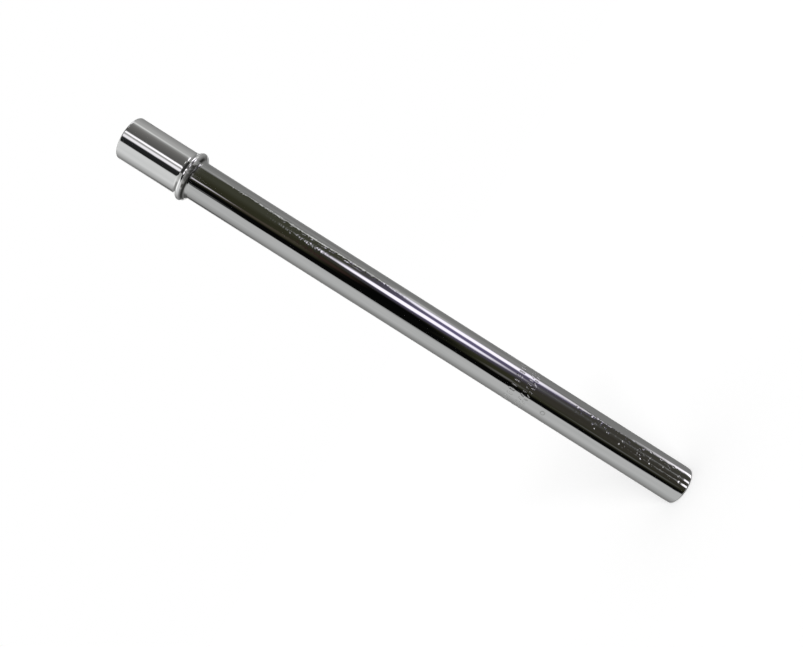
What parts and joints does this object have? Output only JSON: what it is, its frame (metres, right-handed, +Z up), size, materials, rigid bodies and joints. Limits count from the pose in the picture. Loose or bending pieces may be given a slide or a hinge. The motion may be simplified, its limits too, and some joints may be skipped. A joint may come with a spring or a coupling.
{
  "type": "bicycle seatpost",
  "caption": "Straight tubular seatpost: a wider head for the saddle clamp, a raised stop bead below it and a long plain shaft that slides into the frame, open at both ends.",
  "frame": {"origin": "centre of the cut foot, on the surface that the post stands on", "axes": "+Z up the tube from the foot to the saddle head; the post is round, so X and Y are free"},
  "size_m": [0.0292, 0.0292, 0.3556],
  "materials": {
    "chrome": "bright chrome plate over drawn steel tube, with fine pits and light handling wear"
  },
  "bodies": {
    "root": {"seatpost": "chrome"}
  },
  "joints": []
}
